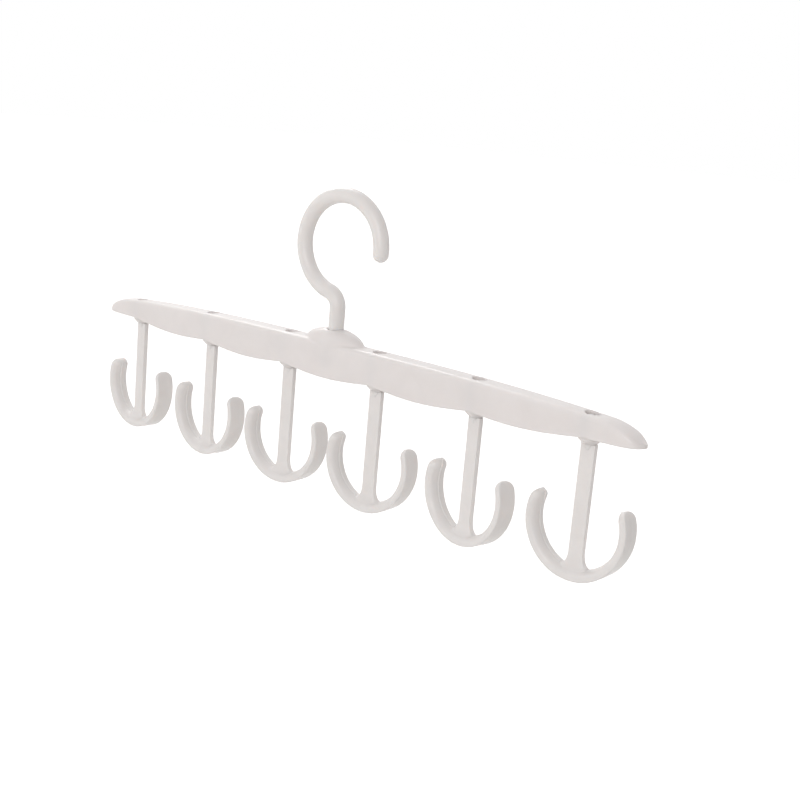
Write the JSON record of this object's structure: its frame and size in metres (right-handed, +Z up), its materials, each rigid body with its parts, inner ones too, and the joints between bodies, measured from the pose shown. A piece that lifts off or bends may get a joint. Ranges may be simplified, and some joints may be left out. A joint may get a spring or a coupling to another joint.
{
  "type": "multi-hook hanger",
  "caption": "Slim moulded hanger bar with a swivelling question-mark hook on top and a row of swivelling anchor-shaped double hooks below.",
  "frame": {"origin": "the hang point: the lowest point of the top hook's ring crown, at its inner top, where it rests on a rail", "axes": "+X along the bar to the right as seen from the front, -Y is the front, +Z up"},
  "size_m": [0.333, 0.0146, 0.1413],
  "materials": {
    "bar_plastic": "off-white moulded polypropylene, satin skin",
    "top_hook_plastic": "off-white moulded plastic, satin skin, a little glossier than the bar",
    "anchor_plastic": "off-white moulded plastic, satin skin"
  },
  "bodies": {
    "top_hook": {"swivel_hook": "top_hook_plastic"},
    "bar": {"bar_body": "bar_plastic"},
    "anchor_1": {"anchor_hook_1": "anchor_plastic"},
    "anchor_2": {"anchor_hook_2": "anchor_plastic"},
    "anchor_3": {"anchor_hook_3": "anchor_plastic"},
    "anchor_4": {"anchor_hook_4": "anchor_plastic"},
    "anchor_5": {"anchor_hook_5": "anchor_plastic"},
    "anchor_6": {"anchor_hook_6": "anchor_plastic"}
  },
  "joints": [
    {"name": "bar_swivel", "type": "hinge", "parent": "top_hook", "child": "bar", "pos_m": [0, 0, -0.0618], "axis": [0, 0, 1], "continuous": true},
    {"name": "anchor_1_swivel", "type": "hinge", "parent": "bar", "child": "anchor_1", "pos_m": [-0.14, 0, -0.0768], "axis": [0, 0, 1], "continuous": true},
    {"name": "anchor_2_swivel", "type": "hinge", "parent": "bar", "child": "anchor_2", "pos_m": [-0.084, 0, -0.07849], "axis": [0, 0, 1], "continuous": true},
    {"name": "anchor_3_swivel", "type": "hinge", "parent": "bar", "child": "anchor_3", "pos_m": [-0.028, 0, -0.07893], "axis": [0, 0, 1], "continuous": true},
    {"name": "anchor_4_swivel", "type": "hinge", "parent": "bar", "child": "anchor_4", "pos_m": [0.028, 0, -0.07893], "axis": [0, 0, 1], "continuous": true},
    {"name": "anchor_5_swivel", "type": "hinge", "parent": "bar", "child": "anchor_5", "pos_m": [0.084, 0, -0.07849], "axis": [0, 0, 1], "continuous": true},
    {"name": "anchor_6_swivel", "type": "hinge", "parent": "bar", "child": "anchor_6", "pos_m": [0.14, 0, -0.0768], "axis": [0, 0, 1], "continuous": true}
  ]
}
